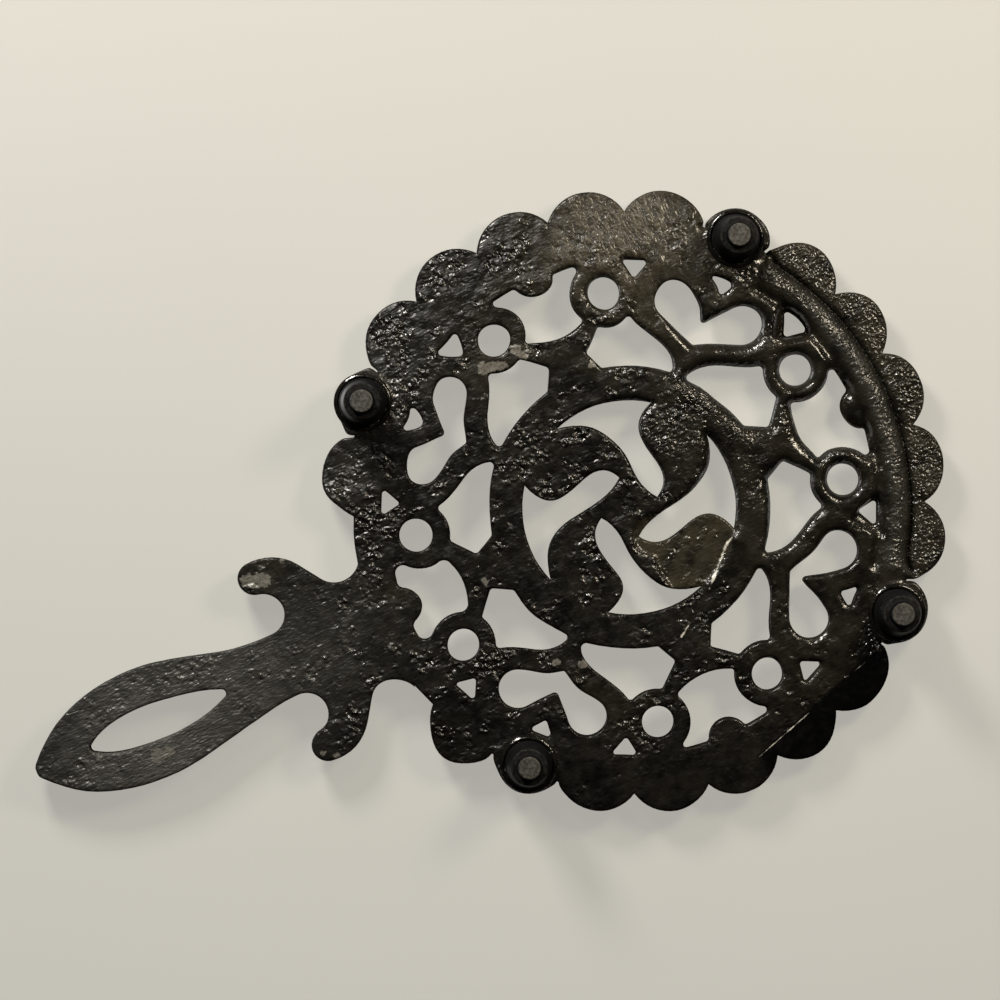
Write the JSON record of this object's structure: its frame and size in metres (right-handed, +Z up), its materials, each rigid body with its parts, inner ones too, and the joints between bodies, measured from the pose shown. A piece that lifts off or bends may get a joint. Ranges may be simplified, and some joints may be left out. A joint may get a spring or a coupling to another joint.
{
  "type": "trivet",
  "caption": "Round openwork cast-iron trivet with a scalloped rim, a pinwheel in a centre ring, a long handle with a hanging eye, and pull-off rubber foot caps.",
  "frame": {"origin": "on the table, under the middle of the whole trivet", "axes": "+Z up, from the table to the plate's top; -X along the handle, from the plate to its tip; +Y to the left of the +X direction"},
  "size_m": [0.2362, 0.1532, 0.0195],
  "materials": {
    "iron": "sand-cast iron under satin black paint, worn to grey and brown in places",
    "foot_rubber": "smooth satin black rubber with scuffed grey tips"
  },
  "bodies": {
    "trivet": {"casting": "iron"},
    "cap_far_left": {"foot_cap_far_left": "foot_rubber"},
    "cap_near_left": {"foot_cap_near_left": "foot_rubber"},
    "cap_near_right": {"foot_cap_near_right": "foot_rubber"},
    "cap_far_right": {"foot_cap_far_right": "foot_rubber"}
  },
  "joints": [
    {"name": "far_left_cap_pull", "type": "slide", "parent": "trivet", "child": "cap_far_left", "axis": [0, 0, -1], "range_m": [0, 0.011]},
    {"name": "near_left_cap_pull", "type": "slide", "parent": "trivet", "child": "cap_near_left", "axis": [0, 0, -1], "range_m": [0, 0.011]},
    {"name": "near_right_cap_pull", "type": "slide", "parent": "trivet", "child": "cap_near_right", "axis": [0, 0, -1], "range_m": [0, 0.011]},
    {"name": "far_right_cap_pull", "type": "slide", "parent": "trivet", "child": "cap_far_right", "axis": [0, 0, -1], "range_m": [0, 0.011]}
  ]
}
